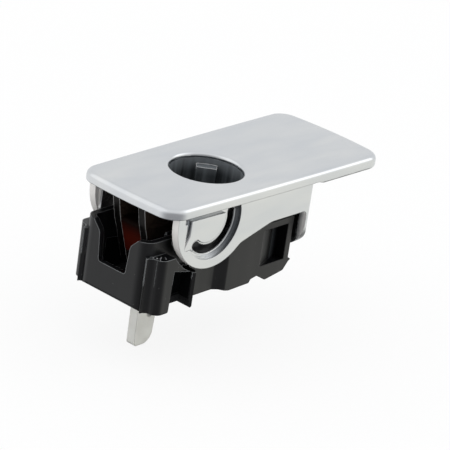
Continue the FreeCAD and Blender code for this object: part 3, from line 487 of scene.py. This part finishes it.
for name, side in SIDES:
    shape = bmesh.new()
    angle = math.radians(SLOT_TO)
    along = Vector((math.cos(angle), 0.0, math.sin(angle)))
    centre = Vector((PIVOT[0], 0.0, PIVOT[1]))
    start = centre + along * (SLOT_OUTER_R + BEAD_R) + Vector((0.0, side * BEAD_PLACE, 0.0))
    turned = Matrix((along, Vector((0, 1, 0)), along.cross(Vector((0, 1, 0))))).transposed().to_4x4()
    made = bmesh.ops.create_circle(shape, segments=12, radius=BEAD_R, cap_ends=False,
                                   matrix=Matrix.Translation(start) @ turned)
    edges = list({edge for vert in made["verts"] for edge in vert.link_edges})
    bmesh.ops.spin(shape, geom=made["verts"] + edges, cent=centre, axis=(0, -1, 0),
                   angle=math.radians(SLOT_FROM - SLOT_TO), steps=40, use_duplicate=False)
    bmesh.ops.holes_fill(shape, edges=shape.edges, sides=12)
    add_piece("slot_bead_" + name, shape, satin_chrome, "handle")

# Floor: a sheet of white paper just under the tongue's tip. The camera sees it mostly as plain white with a
# share of the real shadow, and glossy surfaces mirror the studio in its place. From here on, places are in
# metres.
FLOOR_LEVEL = -0.0446
FLOOR_HALF = 3.0
SHADOW_SHARE = 0.15
PAPER_GRAIN = 1.25
PAPER_FIBRE = (PAPER_GRAIN, PAPER_GRAIN, PAPER_GRAIN)
PAPER_ROUGHNESS = 0.9

sheet = bmesh.new()
bmesh.ops.create_grid(sheet, x_segments=2, y_segments=2, size=FLOOR_HALF)
floor_mesh = bpy.data.meshes.new("floor")
sheet.to_mesh(floor_mesh)
sheet.free()
floor = bpy.data.objects.new("floor", floor_mesh)
scene.collection.objects.link(floor)
floor.location = (0, 0, FLOOR_LEVEL)
paper, tree = new_material("paper")
tone = layered(tree, linear("#fbfbfb"), (uneven(tree, PAPER_FIBRE), linear("#ffffff")))
fibre = skin(tree, PAPER_GRAIN, detail=3.0)
lit = finish_surface(tree, tone, PAPER_ROUGHNESS, 0.0, fibre, relief=0.01, edge_radius=0.1)
white = node(tree, "ShaderNodeEmission", {"Color": linear("#ffffff"), "Strength": 1.0}).outputs[0]
seen = node(tree, "ShaderNodeLightPath").outputs["Is Camera Ray"]
share = where_all(tree, seen, 1.0 - SHADOW_SHARE)
mixture = node(tree, "ShaderNodeMixShader", {0: share, 1: lit, 2: white}).outputs[0]
tree.links.new(mixture, tree.nodes["Material Output"].inputs["Surface"])
floor_mesh.materials.append(paper)
floor.visible_glossy = False

# Studio: a pale surround that the chrome mirrors, plain white to the camera. Each patch has a direction, the
# cosines where it starts and where it is full, and its light: warm at the near right (near is -Y), cooler at
# the far right, a bright spot, grey at the near left and dark below.
PATCHES = [
    ((0.716, -0.578, -0.392), 0.3, 0.9, (1.0, 1.0, 0.95, 1.0)),
    ((0.716, 0.578, 0.392), 0.3, 0.9, (0.9, 0.91, 0.92, 1.0)),
    ((0.716, -0.392, 0.578), 0.93, 0.995, (1.5, 1.5, 1.5, 1.0)),
    ((-0.605, -0.756, -0.252), 0.2, 0.9, (0.42, 0.42, 0.43, 1.0)),
    ((0.0, 0.0, -1.0), 0.5, 0.75, (0.03, 0.03, 0.03, 1.0)),
]

world = bpy.data.worlds.new("studio")
scene.world = world
world.use_nodes = True
tree = world.node_tree
tree.nodes.clear()
direction = node(tree, "ShaderNodeTexCoord").outputs["Generated"]
surround = (0.99, 0.995, 1.0, 1.0)
for axis, start, full, patch in PATCHES:
    match = node(tree, "ShaderNodeVectorMath", {0: direction, 1: Vector(axis).normalized()},
                 operation="DOT_PRODUCT").outputs["Value"]
    share = node(tree, "ShaderNodeMapRange", {0: match, 1: start, 2: full, 3: 0.0, 4: 1.0},
                 interpolation_type="SMOOTHSTEP").outputs[0]
    surround = layered(tree, surround, (share, patch))
seen = node(tree, "ShaderNodeLightPath").outputs["Is Camera Ray"]
surround = layered(tree, surround, (seen, (1.0, 1.0, 1.0, 1.0)))
light = node(tree, "ShaderNodeBackground", {"Color": surround, "Strength": 1.0})
node(tree, "ShaderNodeOutputWorld", {"Surface": light.outputs[0]})

# Lamps: two large square soft boxes above the part, a key at its near right and a fill at its far left.
# Both are weak, because the surround gives most of the light.
PART_MIDDLE = Vector((0.01, 0, -0.02))


def soft_lamp(name, place, size, power):
    """Square area lamp that faces the middle of the part."""
    data = bpy.data.lights.new(name, "AREA")
    data.size = size
    data.energy = power
    lamp = bpy.data.objects.new(name, data)
    scene.collection.objects.link(lamp)
    lamp.location = place
    lamp.rotation_euler = (PART_MIDDLE - Vector(place)).to_track_quat("-Z", "Y").to_euler()


soft_lamp("key", (0.45, -0.35, 0.5), size=0.6, power=0.3)
soft_lamp("fill", (-0.4, 0.4, 0.5), size=0.8, power=0.4)

# Camera: at the photograph's place, found from the plate's outline, with a long lens. It is rolled by nearly
# 8 degrees.
camera_data = bpy.data.cameras.new("camera")
camera_data.sensor_width = 36.0
camera_data.lens = 192.0
camera_data.clip_start = 0.01
camera = bpy.data.objects.new("camera", camera_data)
scene.collection.objects.link(camera)
camera.matrix_world = Matrix((
    (0.66629, 0.20905, -0.71579, -0.42952),
    (-0.73314, 0.35900, -0.57760, -0.35516),
    (0.13622, 0.90962, 0.39247, 0.22304),
    (0.0, 0.0, 0.0, 1.0),
))
scene.camera = camera
scene.view_settings.view_transform = "Standard"
